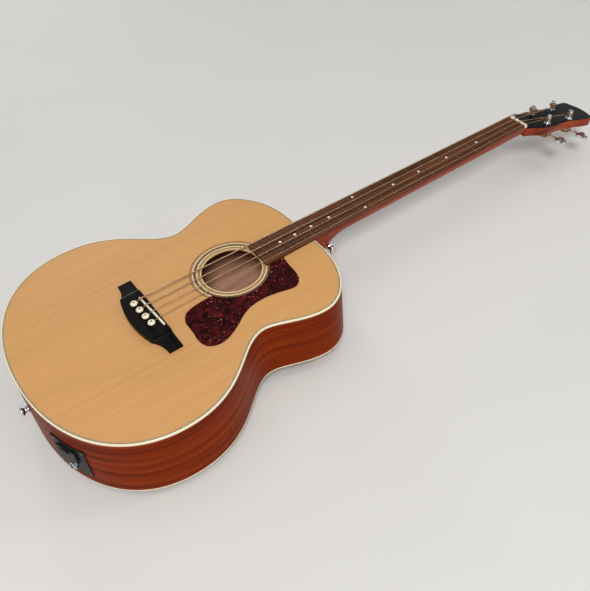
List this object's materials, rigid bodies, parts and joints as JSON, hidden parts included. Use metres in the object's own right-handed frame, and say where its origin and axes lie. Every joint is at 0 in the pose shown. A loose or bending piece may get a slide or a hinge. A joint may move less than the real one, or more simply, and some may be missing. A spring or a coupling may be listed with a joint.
{
  "type": "acoustic bass guitar",
  "caption": "Jumbo-bodied acoustic bass guitar with a round soundhole, pinned bridge, angled headstock with open-gear machine heads and a side-mounted battery and jack housing.",
  "frame": {"origin": "middle of the bounding box in plan, at the lowest point of the arched back", "axes": "+X from the tail to the headstock, +Y to the bass side, +Z out of the soundboard"},
  "size_m": [1.2048, 0.437, 0.1442],
  "materials": {
    "spruce_top": "satin spruce with straight grain along the body",
    "mahogany": "glossy striped mahogany",
    "binding_cream": "cream plastic",
    "inner_spruce": "bare spruce",
    "inner_mahogany": "bare mahogany",
    "rosette_inlay": "cream and dark rings",
    "pickguard_tortoise": "dark red tortoise pattern",
    "ebony": "satin ebony",
    "bone": "polished bone",
    "pin_cream": "cream plastic with a dark dot",
    "rosewood": "oiled rosewood with nickel frets and pearl dots",
    "rod_steel": "plain steel",
    "string_bronze": "wound bronze",
    "black_veneer": "black gloss veneer",
    "hardware_chrome": "polished",
    "gear_brass": "turned brass",
    "black_plastic": "moulded black plastic",
    "battery_case": "plain painted case"
  },
  "bodies": {
    "root": {"soundboard": "spruce_top", "back": "mahogany", "side_bass": "mahogany", "side_treble": "mahogany", "neck": "mahogany", "top_binding": "binding_cream", "back_binding": "binding_cream", "top_lining": "inner_spruce", "back_lining": "inner_spruce", "x_brace_bass": "inner_spruce", "x_brace_treble": "inner_spruce", "transverse_brace": "inner_spruce", "neck_block": "inner_mahogany", "tail_block": "inner_mahogany", "bridge_plate": "inner_mahogany", "rosette": "rosette_inlay", "pickguard": "pickguard_tortoise", "bridge": "ebony", "saddle": "bone", "nut": "bone", "bridge_pin_E": "pin_cream", "bridge_pin_A": "pin_cream", "bridge_pin_D": "pin_cream", "bridge_pin_G": "pin_cream", "fingerboard": "rosewood", "truss_rod": "rod_steel", "string_E": "string_bronze", "string_A": "string_bronze", "string_D": "string_bronze", "string_G": "string_bronze", "headstock_face": "black_veneer", "tuner_plate_E": "hardware_chrome", "post_bushing_E": "hardware_chrome", "tuner_plate_A": "hardware_chrome", "post_bushing_A": "hardware_chrome", "tuner_plate_D": "hardware_chrome", "post_bushing_D": "hardware_chrome", "tuner_plate_G": "hardware_chrome", "post_bushing_G": "hardware_chrome", "strap_button": "hardware_chrome", "end_pin": "hardware_chrome", "output_jack": "hardware_chrome", "jack_housing": "black_plastic", "control_pod": "black_plastic"},
    "key_E": {"tuner_key_E": "hardware_chrome"},
    "post_E": {"tuner_gear_E": "gear_brass", "string_post_E": "hardware_chrome"},
    "key_A": {"tuner_key_A": "hardware_chrome"},
    "post_A": {"tuner_gear_A": "gear_brass", "string_post_A": "hardware_chrome"},
    "key_D": {"tuner_key_D": "hardware_chrome"},
    "post_D": {"tuner_gear_D": "gear_brass", "string_post_D": "hardware_chrome"},
    "key_G": {"tuner_key_G": "hardware_chrome"},
    "post_G": {"tuner_gear_G": "gear_brass", "string_post_G": "hardware_chrome"},
    "drawer": {"battery_drawer": "black_plastic", "battery": "battery_case"},
    "volume": {"volume_wheel": "black_plastic"},
    "tone": {"tone_wheel": "black_plastic"}
  },
  "joints": [
    {"name": "key_E_turn", "type": "hinge", "parent": "root", "child": "key_E", "pos_m": [0.48123, 0.0205, 0.07843], "axis": [0, 1, 0], "continuous": true},
    {"name": "post_E_turn", "type": "hinge", "parent": "root", "child": "post_E", "pos_m": [0.47546, 0.0205, 0.10397], "axis": [0.247, 0, 0.969], "continuous": true},
    {"name": "key_A_turn", "type": "hinge", "parent": "root", "child": "key_A", "pos_m": [0.54325, 0.022, 0.06262], "axis": [0, 1, 0], "continuous": true},
    {"name": "post_A_turn", "type": "hinge", "parent": "root", "child": "post_A", "pos_m": [0.53748, 0.022, 0.08816], "axis": [0.247, 0, 0.969], "continuous": true},
    {"name": "key_D_turn", "type": "hinge", "parent": "root", "child": "key_D", "pos_m": [0.54325, -0.022, 0.06262], "axis": [0, 1, 0], "continuous": true},
    {"name": "post_D_turn", "type": "hinge", "parent": "root", "child": "post_D", "pos_m": [0.53748, -0.022, 0.08816], "axis": [0.247, 0, 0.969], "continuous": true},
    {"name": "key_G_turn", "type": "hinge", "parent": "root", "child": "key_G", "pos_m": [0.48123, -0.0205, 0.07843], "axis": [0, 1, 0], "continuous": true},
    {"name": "post_G_turn", "type": "hinge", "parent": "root", "child": "post_G", "pos_m": [0.47546, -0.0205, 0.10397], "axis": [0.247, 0, 0.969], "continuous": true},
    {"name": "drawer_slide", "type": "slide", "parent": "root", "child": "drawer", "axis": [-0.9325, -0.3611, 0], "range_m": [0, 0.048]},
    {"name": "volume_turn", "type": "hinge", "parent": "root", "child": "volume", "pos_m": [-0.27379, 0.02563, 0.12851], "axis": [0, 0, 1], "range_deg": [-140, 140]},
    {"name": "tone_turn", "type": "hinge", "parent": "root", "child": "tone", "pos_m": [-0.26057, 0.04195, 0.12851], "axis": [0, 0, 1], "range_deg": [-140, 140]}
  ],
  "couplings": [
    {"joint": "post_E_turn", "follows": "key_E_turn", "ratio": -0.05},
    {"joint": "post_A_turn", "follows": "key_A_turn", "ratio": -0.05},
    {"joint": "post_D_turn", "follows": "key_D_turn", "ratio": -0.05},
    {"joint": "post_G_turn", "follows": "key_G_turn", "ratio": -0.05}
  ]
}
